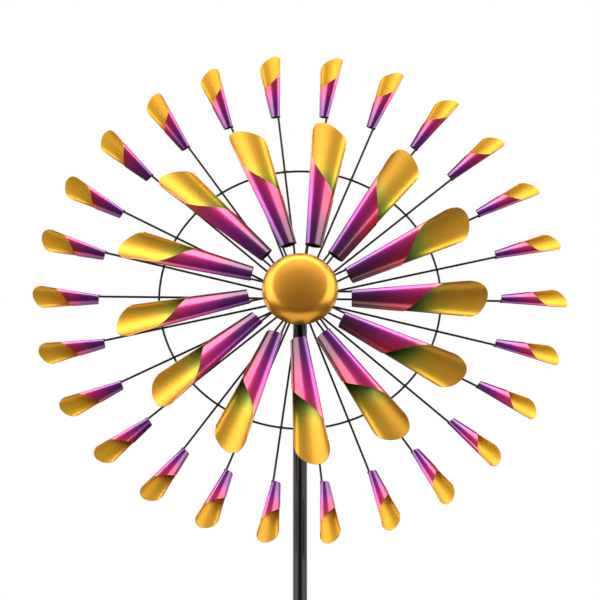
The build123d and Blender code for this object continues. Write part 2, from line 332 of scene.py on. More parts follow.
def spoke_turn(kind, number):
    """Turns something that stands over the hub to one spoke's place round the wheel."""
    turn = math.radians(90 - kind.phase - number * 360 / kind.count)
    about = Matrix.Translation((0, 0, HUB_HEIGHT))
    return about @ Matrix.Rotation(turn, 4, "Y") @ about.inverted()


def make_scoops(kind, material):
    """Every scoop of one wheel, each in place of its CAD node."""
    sheet = rolled_sheet(kind)
    offset = kind.neck - kind.sheet - WIRE - WIRE_GAP
    across = -kind.tall * offset * math.cos(PITCH)
    back = offset * math.sin(PITCH)
    stand = Matrix.Translation((across, back - kind.wheel, HUB_HEIGHT + kind.start))
    leaning = stand @ Matrix.Rotation(math.radians(kind.lean), 4, "X")
    pitched = leaning @ Matrix.Rotation(-kind.tall * PITCH, 4, "Z")
    for number in range(kind.count):
        place = spoke_turn(kind, number) @ pitched
        node = f"{kind.label}_{number + 1:02d}"
        placed = [place @ Vector(p) for p in sheet.points]
        name = f"{node}_sheet"
        piece = add_mesh(name, placed, sheet.faces, kind.body, material, [node])
        point_attribute(piece.data, "along", sheet.along)
        point_attribute(piece.data, "around", sheet.around)
        point_attribute(piece.data, "inside", sheet.inside)
        point_attribute(piece.data, "edge", sheet.edge)


# ---------------------------------------------------------------- wires

WIRE_SIDES = 12
HUB_WELD = 2.05 * MM
HUB_WELD_LENGTH = 2.6 * MM
RING_BEAD = 1.4 * MM
SCOOP_BEAD = 1.9 * MM
RING_STEPS = 260
RING_JOINT_RISE = 0.45 * MM
RING_JOINT_WIDTH = 1.6 * MM


def make_spokes(kind, start, material):
    """The straight wires of one wheel, each with a weld collar where it leaves the hub."""
    shape = Shape()
    hub_radius = radius_of(f"{kind.wheel_label}_hub")
    end = kind.start + SPOKE_IN_SCOOP * kind.length
    profile = [
        (WIRE * 0.7, start), (WIRE, start + 0.4 * MM), (WIRE, hub_radius - 0.3 * MM),
        (HUB_WELD, hub_radius - 0.2 * MM), (HUB_WELD * 0.93, hub_radius + 0.4 * MM),
        (HUB_WELD * 0.68, hub_radius + 0.6 * HUB_WELD_LENGTH), (WIRE, hub_radius + HUB_WELD_LENGTH),
        (WIRE, end - 0.4 * MM), (WIRE * 0.6, end),
    ]
    stand = Matrix.Translation((0, -kind.wheel, HUB_HEIGHT))
    for number in range(kind.count):
        shape.lathe(profile, spoke_turn(kind, number) @ stand, WIRE_SIDES)
    node = f"{kind.wheel_label}_spokes"
    shape.add(f"{node}_wires", kind.body, "wire_paint", material, [node])


def make_ring(material):
    """The wire ring behind the long spokes, butt-welded at the bottom."""
    shape = Shape()
    behind = REAR_WHEEL - 2 * WIRE - WIRE_GAP
    rows = []
    for step in range(RING_STEPS):
        turn = 2 * math.pi * step / RING_STEPS
        from_joint = abs(math.pi * 1.5 - turn) * RING_RADIUS
        radius = WIRE + RING_JOINT_RISE * math.exp(-(from_joint / RING_JOINT_WIDTH) ** 2)
        out = Vector((math.cos(turn), 0, math.sin(turn)))
        centre = Vector((0, -behind, HUB_HEIGHT)) + out * RING_RADIUS
        row = []
        for side in range(WIRE_SIDES):
            angle = 2 * math.pi * side / WIRE_SIDES
            forward = Vector((0, radius * math.sin(angle), 0))
            row.append(centre + out * (radius * math.cos(angle)) + forward)
        rows.append(row)
    shape.grid(rows, closed_rows=True)
    shape.add("spoke_ring_wire", "rear_rotor", "wire_paint", material, ["spoke_ring"])


def blob(shape, place, radius, flat):
    """A small flattened weld bead."""
    profile = [(radius * math.sin(math.pi * i / 6), -radius * flat * math.cos(math.pi * i / 6))
               for i in range(1, 6)]
    shape.lathe(profile, place, 10)


def make_welds(material):
    """Beads where the ring crosses the long spokes and where every spoke meets its scoop."""
    ring_beads = Shape()
    behind = REAR_WHEEL - WIRE - WIRE_GAP / 2
    for number in range(SMALL.count):
        for side in (-1, 1):
            spot = Matrix.Translation((side * WIRE, -behind, HUB_HEIGHT + RING_RADIUS))
            blob(ring_beads, spoke_turn(SMALL, number) @ spot, RING_BEAD, 0.95)
    ring_beads.add("ring_weld_beads", "rear_rotor", "wire_paint", material)
    for kind in (SMALL, LARGE):
        beads = Shape()
        for number in range(kind.count):
            spot = Matrix.Translation((kind.tall * WIRE * 0.5, -kind.wheel, HUB_HEIGHT + kind.start))
            blob(beads, spoke_turn(kind, number) @ spot, SCOOP_BEAD, 1.1)
        beads.add(f"{kind.label}_weld_beads", kind.body, "wire_paint", material)


# ---------------------------------------------------------------- dome

DOME_STRAIGHT = 2.3 * MM
DOME_SHOULDER = 17.05 * MM
DOME_TURN = 78.0
DOME_SHEET = 1.2 * MM
DOME_HEM = 0.9 * MM


def dome_side(radius, rim, inset, steps):
    """Profile of the dome's surface from its rim to nearly its apex, moved in by inset."""
    turn = math.radians(DOME_TURN)
    shoulder_x = radius - DOME_SHOULDER
    drop = shoulder_x / math.cos(turn)
    crown_y = rim + DOME_STRAIGHT - drop * math.sin(turn)
    shoulder = DOME_SHOULDER - inset
    profile = arc((shoulder_x, rim + DOME_STRAIGHT), shoulder, 0, DOME_TURN, steps)
    profile += arc((0, crown_y), shoulder + drop, DOME_TURN, 89.7, steps)[1:]
    return profile


def make_dome(material):
    """The pressed dome with a rolled rim, and the inside of its shell."""
    radius = radius_of("hub_dome")
    rim, _ = stacked("hub_dome")
    shape = Shape()
    outside = dome_side(radius, rim, 0, 24)
    hem = arc((radius - DOME_HEM, rim + DOME_HEM), DOME_HEM, -180, 0, 10)
    inside = dome_side(radius, rim, DOME_SHEET, 16)
    profile = list(reversed(inside)) + hem + outside
    shape.lathe(profile, FORWARD, 128)
    shape.add("hub_dome_shell", "front_rotor", "dome_gold", material, ["hub_dome"], 60)


def make_backplate(material):
    """The stamped plate inside the dome's rim, with one round rib."""
    start, end = stacked("dome_backplate")
    outer = radius_of("dome_backplate")
    hub_radius = radius_of("front_hub")
    rib = (outer + hub_radius) / 2
    lift = 0.9 * MM
    profile = [
        (hub_radius, start), (rib - 4 * MM, start), (rib - 1.5 * MM, start + lift),
        (rib + 1.5 * MM, start + lift), (rib + 4 * MM, start), (outer - 0.3 * MM, start),
        (outer, start + 0.3 * MM), (outer, end), (rib + 4 * MM, end), (rib + 1.5 * MM, end + lift),
        (rib - 1.5 * MM, end + lift), (rib - 4 * MM, end), (hub_radius, end),
    ]
    shape = Shape()
    shape.lathe(profile, FORWARD, 96, closed=True)
    shape.add("dome_backplate_stamping", "front_rotor", "plate_steel", material, ["dome_backplate"])


# ---------------------------------------------------------------- hubs, bushes and axle

AXLE_RADIUS = 4.0 * MM
HUB_BORE = 6.0 * MM
BUSH_LENGTH = 6.0 * MM
NUT_HEIGHT = 6.5 * MM
NUT_HEX = 5.0 * MM
NUT_FLATS = 13.0 * MM
THREAD_PITCH = 1.25 * MM
THREAD_DEPTH = 0.55 * MM
WASHER = 1.5 * MM


def make_hub(label, material):
    """A turned hub with rounded shoulders and a shallow groove each side of its spokes."""
    start, end = stacked(f"{label}_hub")
    radius = radius_of(f"{label}_hub")
    shoulder = 1.0 * MM
    groove_radius, groove_offset = 0.5 * MM, 3.6 * MM
    middle = (start + end) / 2
    profile = [(HUB_BORE, start)]
    profile += arc((radius - shoulder, start + shoulder), shoulder, -90, 0, 5)
    for groove in (middle - groove_offset, middle + groove_offset):
        profile += arc((radius, groove), groove_radius, 270, 90, 6)
    profile += arc((radius - shoulder, end - shoulder), shoulder, 0, 90, 5) + [(HUB_BORE, end)]
    shape = Shape()
    shape.lathe(profile, FORWARD, 96, closed=True)
    body = f"{label}_rotor"
    shape.add(f"{label}_hub_turning", body, "hub_paint", material, [f"{label}_hub"])


def make_bushes(label, material):
    """Two flanged bushes, one in each end of a hub."""
    hub_start, hub_end = stacked(f"{label}_hub")
    start, end = stacked(f"{label}_bushings")
    flange = radius_of(f"{label}_bushings")
    bore = AXLE_RADIUS + 0.05 * MM
    sleeve = HUB_BORE - 0.02 * MM
    edge = 0.35 * MM
    shape = Shape()
    for outer_face, hub_face, way in ((start, hub_start, 1), (end, hub_end, -1)):
        thick = abs(hub_face - outer_face)
        profile = [
            (bore + edge, 0), (flange - edge, 0), (flange - 0.1 * MM, 0.1 * MM), (flange, edge),
            (flange, thick), (sleeve, thick), (sleeve, BUSH_LENGTH + thick),
            (bore, BUSH_LENGTH + thick), (bore, edge),
        ]
        turned = [(radius, outer_face + way * height) for radius, height in profile]
        if way < 0:
            turned.reverse()
        shape.lathe(turned, FORWARD, 64, closed=True)
    body = f"{label}_rotor"
    shape.add(f"{label}_bushing_pair", body, "bush_plastic", material, [f"{label}_bushings"])


def thread(shape, begin, end):
    """A helical thread round the axle between two distances along it."""
    sides, rows_per_turn = 36, 6
    count = round((end - begin) / THREAD_PITCH * rows_per_turn)
    profile = [(AXLE_RADIUS, begin + (end - begin) * row / count) for row in range(count + 1)]

    def radius_at(radius, height, angle):
        phase = ((height - begin) / THREAD_PITCH - angle / (2 * math.pi)) % 1.0
        fade = min(1.0, (height - begin) / THREAD_PITCH, (end - height) / THREAD_PITCH)
        return radius - 0.1 * MM - THREAD_DEPTH * fade * abs(2 * phase - 1)

    shape.lathe(profile, FORWARD, sides, radius_at=radius_at)


def make_axle(material):
    """The rod with a thread at each end, reaching out past its nuts."""
    begin, end = stacked("axle")
    nuts_begin, nuts_end = stacked("axle_nuts")
    edge = 0.8 * MM
    thread_length = 3 * MM
    plain_begin = nuts_begin + NUT_HEIGHT
    plain_end = nuts_end - NUT_HEIGHT
    shape = Shape()
    rod = [(AXLE_RADIUS - 0.1 * MM, plain_begin - thread_length)]
    rod += [(AXLE_RADIUS, plain_begin), (AXLE_RADIUS, plain_end)]
    rod += [(AXLE_RADIUS - 0.1 * MM, plain_end + thread_length)]
    shape.lathe(rod, FORWARD, 48)
    thread(shape, begin + edge, plain_begin - thread_length)
    thread(shape, plain_end + thread_length, end - edge)
    core = AXLE_RADIUS - THREAD_DEPTH - 0.1 * MM
    for face, inner in ((begin, begin + edge), (end, end - edge)):
        profile = [(core - edge * 0.6, face), (core, inner)]
        if face > inner:
            profile.reverse()
        shape.lathe(profile, FORWARD, 36)
    shape.add("axle_rod", "stand", "axle_steel", material, ["axle"])


def hex_radius(flats, angle):
    """Distance from the centre to a hexagon's side in one direction."""
    step = math.pi / 3
    within = (angle + step / 2) % step - step / 2
    return flats / 2 / math.cos(within)


def lock_nut(shape, face, way):
    """A hexagon nut whose corners are turned off, with a round collar on its outer side."""
    collar = 5.5 * MM
    turned_off = NUT_FLATS / 2 - 0.1 * MM
    slope = 1.7
    bore = AXLE_RADIUS - 0.1 * MM

    def radius_at(radius, height, angle):
        from_end = min(abs(height - face), abs(abs(height - face) - NUT_HEX))
        if radius < turned_off:
            return radius
        return min(hex_radius(NUT_FLATS, angle), turned_off + slope * from_end)

    heights = [0.0, 0.2 * MM, 0.45 * MM, 0.75 * MM, NUT_HEX - 0.75 * MM, NUT_HEX - 0.45 * MM,
               NUT_HEX - 0.2 * MM, NUT_HEX]
    profile = [(bore, 0.0)] + [(NUT_FLATS, height) for height in heights]
    profile += [(collar, NUT_HEX)] + arc((collar - 0.5 * MM, NUT_HEIGHT - 0.5 * MM), 0.5 * MM, 0, 90, 4)
    profile += [(bore, NUT_HEIGHT)]
    turned = [(radius, face + way * height) for radius, height in profile]
    if way < 0:
        turned.reverse()
    shape.lathe(turned, FORWARD, 72, closed=True, radius_at=radius_at)


def make_nuts(material):
    """One lock nut behind the pole and one in front of the front wheel, under the dome."""
    begin, end = stacked("axle_nuts")
    shape = Shape()
    lock_nut(shape, begin + NUT_HEIGHT, -1)
    lock_nut(shape, end - NUT_HEIGHT, 1)
    shape.add("axle_lock_nuts", "stand", "fastener_steel", material, ["axle_nuts"])


def make_spacers(material):
    """Washers and sleeves along the axle, with eased edges."""
    outer = radius_of("axle_spacers")
    begin, end = stacked("axle_spacers")
    gap = 0.3 * MM
    rear_begin, rear_end = stacked("rear_bushings")
    front_begin, _ = stacked("front_bushings")
    stack = (
        (begin, begin + WASHER), (radius_of("pole_upper"), rear_begin - gap),
        (rear_end + gap, front_begin - gap), (end - WASHER, end),
    )
    shape = Shape()
    for bottom, top in stack:
        profile = round_ring(AXLE_RADIUS + 0.02 * MM, outer, bottom, top, 0.3 * MM)
        shape.lathe(profile, FORWARD, 56, closed=True)
    shape.add("axle_washers_and_sleeves", "stand", "fastener_steel", material, ["axle_spacers"])


# ---------------------------------------------------------------- pole and fork

TUBE_WALL = 1.2 * MM
NECK_RADIUS = 6.75 * MM
NECK_SHOULDER = 1.3 * MM
NECK_LENGTH = 40.0 * MM
SCREW_RISE = 20.0 * MM
SCREW_RADIUS = 2.0 * MM
SCREW_HEAD_RADIUS = 3.6 * MM
SCREW_HEAD = 2.2 * MM
SPIKE_RADIUS = 6.0 * MM
PRONG_RADIUS = 4.0 * MM
PRONG_SPREAD = 58.0 * MM
STEP_WIDTH = 26.0 * MM
POLE_SIDES = 96


def make_pole(material):
    """Three tubes with eased ends, each of the lower two with a swaged neck."""
    for label in ("lower", "middle", "upper"):
        node = f"pole_{label}"
        low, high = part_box(node)
        radius = radius_of(node)
        ease = 0.4 * MM
        profile = [(radius - TUBE_WALL, low.z)] + arc((radius - ease, low.z + ease), ease, -90, 0, 4)
        if label == "upper":
            profile += arc((radius - ease, high.z - ease), ease, 0, 90, 4)
            profile += [(radius - TUBE_WALL, high.z)]
        else:
            joint = high.z - NECK_LENGTH - NECK_SHOULDER
            bore = NECK_RADIUS - TUBE_WALL
            profile += arc((radius - ease, joint - ease), ease, 0, 40, 3)
            profile += [(NECK_RADIUS, joint + NECK_SHOULDER), (NECK_RADIUS, high.z - ease),
                        (NECK_RADIUS - ease, high.z), (bore, high.z), (bore, joint),
                        (radius - TUBE_WALL, joint - TUBE_WALL)]
        shape = Shape()
        shape.lathe(profile, UPRIGHT, POLE_SIDES, closed=True)
        shape.add(f"{node}_tube", "stand", "pole_paint", material, [node])


def make_cap(material):
    """The plug's low dome on top of the pole and the ribs that grip inside it."""
    low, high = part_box("pole_cap")
    radius = radius_of("pole_cap")
    top_of_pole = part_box("pole_upper")[1].z
    plug = radius - TUBE_WALL - 0.05 * MM
    profile = [(plug - 0.8 * MM, low.z), (plug - 0.3 * MM, low.z + 1 * MM)]
    for rib in range(3):
        base = low.z + (2 + 2.4 * rib) * MM
        profile += [(plug - 0.3 * MM, base), (plug, base + 0.5 * MM), (plug - 0.3 * MM, base + 1.2 * MM)]
    profile += [(plug - 0.3 * MM, top_of_pole), (radius - 0.2 * MM, top_of_pole)]
    profile += [(radius, top_of_pole + 0.25 * MM)]
    round_off = 1.4 * MM
    profile += arc((radius - round_off, high.z - 0.3 * MM - round_off), round_off, 0, 80, 6)
    profile += [(radius * 0.5, high.z - 0.08 * MM), (radius * 0.02, high.z)]
    shape = Shape()
    shape.lathe(profile, UPRIGHT, POLE_SIDES)
    shape.add("pole_cap_plug", "stand", "cap_plastic", material, ["pole_cap"])


def make_screws(material):
    """Button-head screws with hexagon sockets, through the back of each pole joint."""
    pole_radius = radius_of("pole_upper")
    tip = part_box("pole_joint_screws")[0].y - pole_radius
    chamfer, side = 0.5 * MM, 0.7 * MM
    crown = 1.5 * MM
    socket_flats, socket_depth = 2.6 * MM, 1.2 * MM
    shape = Shape()

    def radius_at(radius, height, angle):
        if radius < socket_flats * 0.51:
            return hex_radius(socket_flats, angle) * (0.3 if radius < socket_flats * 0.4 else 1.0)
        return radius

    for node in ("ground_spike", "pole_lower", "pole_middle"):
        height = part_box(node)[1].z - SCREW_RISE
        back = Matrix(((-1, 0, 0, 0), (0, 0, 1, pole_radius), (0, 1, 0, height), (0, 0, 0, 1)))
        profile = [(SCREW_RADIUS - chamfer, tip), (SCREW_RADIUS, tip + chamfer)]
        profile += [(SCREW_RADIUS, 0.0), (SCREW_HEAD_RADIUS, 0.0), (SCREW_HEAD_RADIUS, side)]
        profile += arc((SCREW_HEAD_RADIUS - crown, side), crown, 15, 90, 6)
        profile += [(socket_flats * 0.5, SCREW_HEAD), (socket_flats * 0.5, SCREW_HEAD - socket_depth)]
        profile += [(socket_flats * 0.2, SCREW_HEAD - socket_depth - 0.2 * MM)]
        shape.lathe(profile, back, 36, radius_at=radius_at)
    shape.add("pole_joint_button_screws", "stand", "fastener_steel", material, ["pole_joint_screws"])


def make_spike(material):
    """The pointed rod and the thicker stub that the pole slides over."""
    low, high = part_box("ground_spike")
    bar_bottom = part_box("step_bar")[0].z
    point, swell, edge = 30.0 * MM, 40.0 * MM, 1.0 * MM
    profile = [(0.8 * MM, low.z), (1.1 * MM, low.z + 0.8 * MM)]
    profile += arc((SPIKE_RADIUS - swell, low.z + point), swell, -10, 0, 4)
    profile += [(SPIKE_RADIUS, bar_bottom), (NECK_RADIUS, bar_bottom), (NECK_RADIUS, high.z - edge)]
    profile += [(NECK_RADIUS - edge, high.z)]
    shape = Shape()
    shape.lathe(profile, UPRIGHT, 64)
    shape.add("ground_spike_rod", "stand", "fork_steel", material, ["ground_spike"])


def make_prongs(material):
    """Two pointed side prongs whose upset heads rest on the step bar."""
    low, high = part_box("fork_prongs")
    bar_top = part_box("step_bar")[1].z
    head = high.x - PRONG_SPREAD
    rod, point, edge = PRONG_RADIUS, 20.0 * MM, 2.0 * MM
    profile = [(0.6 * MM, low.z), (0.9 * MM, low.z + 0.6 * MM), (rod * 0.97, low.z + point * 0.94)]
    profile += [(rod, low.z + point), (rod, bar_top), (head - 0.3 * MM, bar_top)]
    profile += [(head, bar_top + 0.3 * MM)]
    profile += arc((head - edge, high.z - edge), edge, 0, 85, 6)
    shape = Shape()
    for side in (-1, 1):
        shape.lathe(profile, Matrix.Translation((side * PRONG_SPREAD, 0, 0)), 48)
    shape.add("fork_prong_pair", "stand", "fork_steel", material, ["fork_prongs"])


def make_step_bar(material):
    """The flat bar for a foot, round-ended, with eased edges."""
    low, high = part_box("step_bar")
    half_width = STEP_WIDTH / 2
    half_run = high.x - half_width
    edge = 0.9 * MM
    steps = 20
    insets = [(edge, low.z)] + [
        (edge - edge * math.sin(math.radians(a)), low.z + edge - edge * math.cos(math.radians(a)))
        for a in (30, 60, 90)
    ]
    insets += [(edge - edge * math.cos(math.radians(a)), high.z - edge + edge * math.sin(math.radians(a)))
               for a in (0, 30, 60, 90)]
    rows = []
    for inset, height in insets:
        row = []
        for end, first in ((1, -90), (-1, 90)):
            for step in range(steps + 1):
                angle = math.radians(first + 180 * step / steps)
                radius = half_width - inset
                across = end * half_run + radius * math.cos(angle)
                row.append(Vector((across, radius * math.sin(angle), height)))
        rows.append(row)
    shape = Shape()
    first, size = shape.grid(rows)
    shape.cap(first, size, True)
    shape.cap(first + (len(rows) - 1) * size, size)
    shape.add("step_bar_plate", "stand", "fork_steel", material, ["step_bar"])


def make_fork_welds(material):
    """Rippled weld beads under the step bar, round the spike and both prongs."""
    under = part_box("step_bar")[0].z
    shape = Shape()
    bead, inside_rod, ripple, ripple_depth, ripple_lean = 1.9 * MM, 0.2 * MM, 0.36 * MM, 0.14, 900
    rods = ((0.0, SPIKE_RADIUS), (-PRONG_SPREAD, PRONG_RADIUS), (PRONG_SPREAD, PRONG_RADIUS))
    for centre, rod in rods:
        ripples = round(rod / ripple)
        place = Matrix.Translation((centre, 0, under))

        def radius_at(radius, height, angle, rod=rod, ripples=ripples):
            swell = 1 + ripple_depth * math.cos(ripples * angle + ripple_lean * height)
            return rod + (radius - rod) * swell

        profile = [(rod - inside_rod, 0.0)] + [
            (rod + bead * math.cos(math.radians(a)), -bead * math.sin(math.radians(a)))
            for a in range(0, 91, 15)
        ]
        profile.append((rod - inside_rod, -bead))
        profile.reverse()
        shape.lathe(profile, place, ripples * 6, closed=True, radius_at=radius_at)
    shape.add("fork_weld_beads", "stand", "fork_steel", material)


# ---------------------------------------------------------------- materials


class Nodes:
    """A short way to write a material's node tree."""

    def __init__(self, name):
        self.material = bpy.data.materials.new(name)
        self.material.use_nodes = True
        self.tree = self.material.node_tree
        self.shader = self.tree.nodes["Principled BSDF"]

    def new(self, kind, **settings):
        node = self.tree.nodes.new(kind)
        for key, value in settings.items():
            setattr(node, key, value)
        return node

    def link(self, source, target):
        self.tree.links.new(source, target)

    def set(self, **sockets):
        """Constants on the shader's own sockets, with _ for each space in a socket's name."""
        for name, value in sockets.items():
            self.shader.inputs[name.replace("_", " ")].default_value = value

    def ramp(self, source, stops):
        """A colour ramp with (position, red, green, blue) stops."""
        node = self.new("ShaderNodeValToRGB")
        elements = node.color_ramp.elements
        elements[0].position, elements[1].position = stops[0][0], stops[-1][0]
        elements[0].color = (*stops[0][1:], 1)
        elements[1].color = (*stops[-1][1:], 1)
        for stop in stops[1:-1]:
            elements.new(stop[0]).color = (*stop[1:], 1)
        self.link(source, node.inputs["Fac"])
        return node.outputs["Color"]

    def noise(self, scale, detail):
        """Noise in the object's own space, in cycles per metre."""
        place = self.new("ShaderNodeTexCoord")
        node = self.new("ShaderNodeTexNoise")
        node.inputs["Scale"].default_value = scale
        node.inputs["Detail"].default_value = detail
        self.link(place.outputs["Object"], node.inputs["Vector"])
        return node.outputs["Fac"]

    def math(self, operation, first, second):
        node = self.new("ShaderNodeMath", operation=operation)
        for socket, value in zip(node.inputs, (first, second)):
            if isinstance(value, (int, float)):
                socket.default_value = value
            else:
                self.link(value, socket)
        return node.outputs[0]

    def mix(self, share, first, second, blend="MIX"):
        """A colour mix; share and the colours are sockets or values."""
        node = self.new("ShaderNodeMix", data_type="RGBA", blend_type=blend)
        for socket, value in ((node.inputs[0], share), (node.inputs[6], first), (node.inputs[7], second)):
            if isinstance(value, (int, float)):
                socket.default_value = value
            elif isinstance(value, tuple):
                socket.default_value = (*value, 1)
            else:
                self.link(value, socket)
        return node.outputs[2]

    def spread(self, source, low, high):
        """Maps 0..1 to low..high."""
        node = self.new("ShaderNodeMapRange")
        node.inputs["To Min"].default_value = low
        node.inputs["To Max"].default_value = high
        self.link(source, node.inputs["Value"])
        return node.outputs["Result"]

    def bump(self, height, strength, distance):
        node = self.new("ShaderNodeBump")
        node.inputs["Strength"].default_value = strength
        node.inputs["Distance"].default_value = distance
        self.link(height, node.inputs["Height"])
        self.link(node.outputs["Normal"], self.shader.inputs["Normal"])

    def attribute(self, name):
        node = self.new("ShaderNodeAttribute", attribute_name=name)
        return node.outputs["Fac"]


def scoop_paint(name, outside, outside_short, inside, tall_painted_shade, inside_metal):
    """Metallic lacquer that blends along the scoop, another blend inside, and bare cut edges.

    outside_short is the outside's blend on the short side. tall_painted_shade is painted shade: it darkens the
    inside towards its tall side.
    """
    nodes = Nodes(name)
    drift = nodes.math("MULTIPLY", nodes.math("SUBTRACT", nodes.noise(40, 2), 0.5), 0.05)
    along = nodes.math("ADD", nodes.attribute("along"), drift)
    outer = nodes.ramp(along, outside)
    outer_short = nodes.ramp(along, outside_short)
    around = nodes.attribute("around")
    short_share = nodes.ramp(around, ((0.62, 0, 0, 0), (0.86, 1, 1, 1)))
    outer = nodes.mix(short_share, outer, outer_short)
    slant = nodes.math("MULTIPLY", nodes.math("SUBTRACT", around, 0.25), 0.28)
    inner = nodes.ramp(nodes.math("SUBTRACT", along, slant), inside)
    # painted shade: the inside is darkened towards its tall side
    painted_tall_shade = nodes.ramp(around, ((0.24, 1, 1, 1), (0.44, *tall_painted_shade)))
    inner = nodes.mix(1.0, inner, painted_tall_shade, "MULTIPLY")
    is_inside = nodes.attribute("inside")
    colour = nodes.mix(is_inside, outer, inner)
    flake = nodes.noise(900, 3)
    colour = nodes.mix(nodes.spread(flake, 0.0, 0.05), colour, (1.0, 0.85, 0.75))
    scuffs = nodes.ramp(nodes.noise(220, 4), ((0.35, 0.4, 0.4, 0.4), (0.6, 1, 1, 1)))
    bare = nodes.math("MULTIPLY", nodes.attribute("edge"), scuffs)
    colour = nodes.mix(bare, colour, (0.50, 0.30, 0.14))
    nodes.link(colour, nodes.shader.inputs["Base Color"])
    gloss = nodes.spread(nodes.noise(120, 3), -0.02, 0.02)
    satin = nodes.spread(is_inside, 0.30, 0.38)
    nodes.link(nodes.math("ADD", gloss, satin), nodes.shader.inputs["Roughness"])
    nodes.link(nodes.spread(is_inside, 0.9, 0.0), nodes.shader.inputs["Coat Weight"])
    nodes.link(nodes.spread(is_inside, 0.84, inside_metal), nodes.shader.inputs["Metallic"])
    nodes.set(Coat_Roughness=0.12, Coat_IOR=1.8, Specular_IOR_Level=0.25)
    nodes.bump(nodes.noise(22, 2), 0.10, 0.0006)
    return nodes.material


def plain_paint(name, colour, worn, roughness, metallic=0.0, shine=0.5):
    """Paint or metal with faint mottling, an orange-peel bump and a slightly uneven gloss."""
    nodes = Nodes(name)
    patches = nodes.noise(18, 4)
    tint = nodes.mix(nodes.spread(patches, 0.0, 0.6), colour, worn)
    nodes.link(tint, nodes.shader.inputs["Base Color"])
    gloss = nodes.spread(nodes.noise(270, 3), roughness * 0.8, roughness * 1.25)
    nodes.link(gloss, nodes.shader.inputs["Roughness"])
    nodes.set(Metallic=metallic, Specular_IOR_Level=shine)
    nodes.bump(nodes.noise(900, 2), 0.15, 0.0003)
    return nodes.material


def gold_paint(name):
    """Satin gold lacquer of the dome, faintly clouded, with a fine grit."""
    nodes = Nodes(name)
    cloud = nodes.noise(60, 3)
    tint = nodes.mix(nodes.spread(cloud, 0.0, 0.5), (0.86, 0.36, 0.02), (0.90, 0.40, 0.03))
    grit = nodes.noise(900, 3)
    tint = nodes.mix(nodes.spread(grit, 0.0, 0.06), tint, (1.0, 0.8, 0.4))
    nodes.link(tint, nodes.shader.inputs["Base Color"])
    nodes.link(nodes.spread(nodes.noise(150, 3), 0.31, 0.35), nodes.shader.inputs["Roughness"])
    nodes.set(Metallic=0.85, Coat_Weight=0.2, Coat_Roughness=0.35)
    nodes.bump(cloud, 0.06, 0.0006)
    return nodes.material


LARGE_OUTSIDE = (
    (0.0, 0.14, 0.001, 0.20), (0.18, 0.22, 0.003, 0.30), (0.34, 0.56, 0.010, 0.42),
    (0.48, 0.86, 0.020, 0.36), (0.60, 0.92, 0.06, 0.18), (0.68, 0.95, 0.22, 0.12),
)
LARGE_OUTSIDE_SHORT = (
    (0.0, 0.09, 0.010, 0.012), (0.16, 0.18, 0.012, 0.022), (0.30, 0.50, 0.010, 0.035),
    (0.42, 0.74, 0.012, 0.040),
)
# The large inside blend is near black up to about a third along: painted shade in the throat and at the bottom of
# the mouth, ahead of the lacquer's own green and gold.
LARGE_INSIDE = (
    (0.0, 0.004, 0.006, 0.002), (0.34, 0.010, 0.016, 0.004), (0.44, 0.06, 0.15, 0.02),
    (0.54, 0.30, 0.46, 0.05), (0.64, 0.80, 0.58, 0.04), (0.74, 0.92, 0.49, 0.025),
    (1.0, 0.92, 0.45, 0.025),
)
SMALL_OUTSIDE = (
    (0.0, 0.20, 0.010, 0.26), (0.2, 0.24, 0.010, 0.32), (0.34, 0.55, 0.010, 0.34),
    (0.45, 0.82, 0.015, 0.26), (0.6, 0.92, 0.05, 0.20), (0.7, 0.94, 0.25, 0.12),
)
SMALL_OUTSIDE_SHORT = (
    (0.0, 0.14, 0.006, 0.16), (0.2, 0.24, 0.008, 0.24), (0.32, 0.50, 0.012, 0.20),
    (0.42, 0.70, 0.02, 0.10),
)
SMALL_INSIDE = (
    (0.0, 0.05, 0.005, 0.002), (0.30, 0.30, 0.02, 0.01), (0.40, 0.75, 0.12, 0.02),
    (0.50, 0.94, 0.36, 0.02), (0.62, 0.95, 0.48, 0.012), (1.0, 0.95, 0.46, 0.012),
)


def make_materials():
    """One material for each slot of the record."""
    black, dusty = (0.010, 0.009, 0.009), (0.022, 0.020, 0.019)
    return {
        # In each scoop lacquer, the colour given before the inside's metal share is painted shade for the inside's
        # tall side.
        "small_scoop_paint": scoop_paint(
            "small_scoop_lacquer", SMALL_OUTSIDE, SMALL_OUTSIDE_SHORT, SMALL_INSIDE,
            (0.86, 0.80, 0.78), 0.45),
        "large_scoop_paint": scoop_paint(
            "large_scoop_lacquer", LARGE_OUTSIDE, LARGE_OUTSIDE_SHORT, LARGE_INSIDE,
            (0.55, 0.48, 0.45), 0.7),
        "dome_gold": gold_paint("dome_lacquer"),
        "pole_paint": plain_paint("pole_gloss_black", (0.005, 0.005, 0.005), black, 0.22, shine=0.4),
        "wire_paint": plain_paint(
            "wire_satin_black", (0.010, 0.007, 0.006), (0.02, 0.014, 0.010), 0.4, shine=0.35),
        "hub_paint": plain_paint("hub_satin_black", black, dusty, 0.35),
        "plate_steel": plain_paint("plate_satin_black", black, dusty, 0.4),
        "fork_steel": plain_paint("fork_powder_coat", black, (0.05, 0.043, 0.038), 0.45),
        "cap_plastic": plain_paint("cap_plastic", (0.012, 0.012, 0.012), (0.02, 0.02, 0.02), 0.5),
        "fastener_steel": plain_paint("zinc_steel", (0.45, 0.45, 0.47), (0.6, 0.6, 0.58), 0.3, metallic=1.0),
        "axle_steel": plain_paint("axle_steel", (0.5, 0.5, 0.5), (0.62, 0.6, 0.58), 0.25, metallic=1.0),
        "bush_plastic": plain_paint("bush_nylon", (0.62, 0.6, 0.54), (0.7, 0.68, 0.62), 0.45),
    }


def dress_cad_nodes(materials):
    """Gives each carried-over CAD node its slot's material."""
    for row in frame["record"]["subparts"]:
        node = frame["nodes"][row["node"]]
        node.data.materials.clear()
        node.data.materials.append(materials[row["material_slot"]])


# ---------------------------------------------------------------- stage


